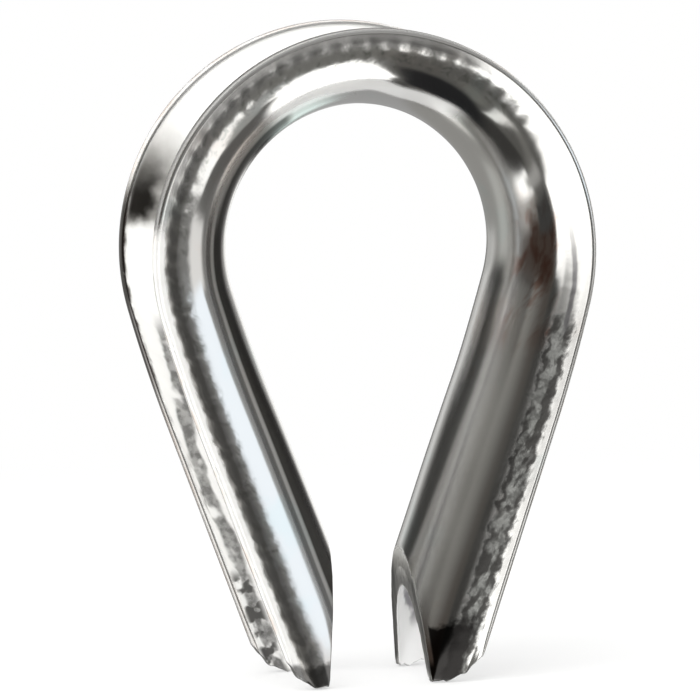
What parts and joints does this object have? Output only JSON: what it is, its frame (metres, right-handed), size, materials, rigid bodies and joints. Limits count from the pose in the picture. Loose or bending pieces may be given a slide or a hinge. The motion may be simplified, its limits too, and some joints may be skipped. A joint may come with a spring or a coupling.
{
  "type": "wire rope thimble",
  "caption": "Open-point wire rope thimble: a pressed steel channel bent to a teardrop, with a rope groove round the outside of its eye.",
  "frame": {"origin": "centre of the overall envelope: mid length, mid width and mid thickness", "axes": "+Z along the teardrop from the open point to the top of the bow; +Y along the axis of the eye, the way a pin passes through it; +X across the teardrop"},
  "size_m": [0.0326, 0.0128, 0.0474],
  "materials": {
    "zinc_plated_steel": "gloss"
  },
  "bodies": {
    "root": {"thimble_body": "zinc_plated_steel"}
  },
  "joints": []
}
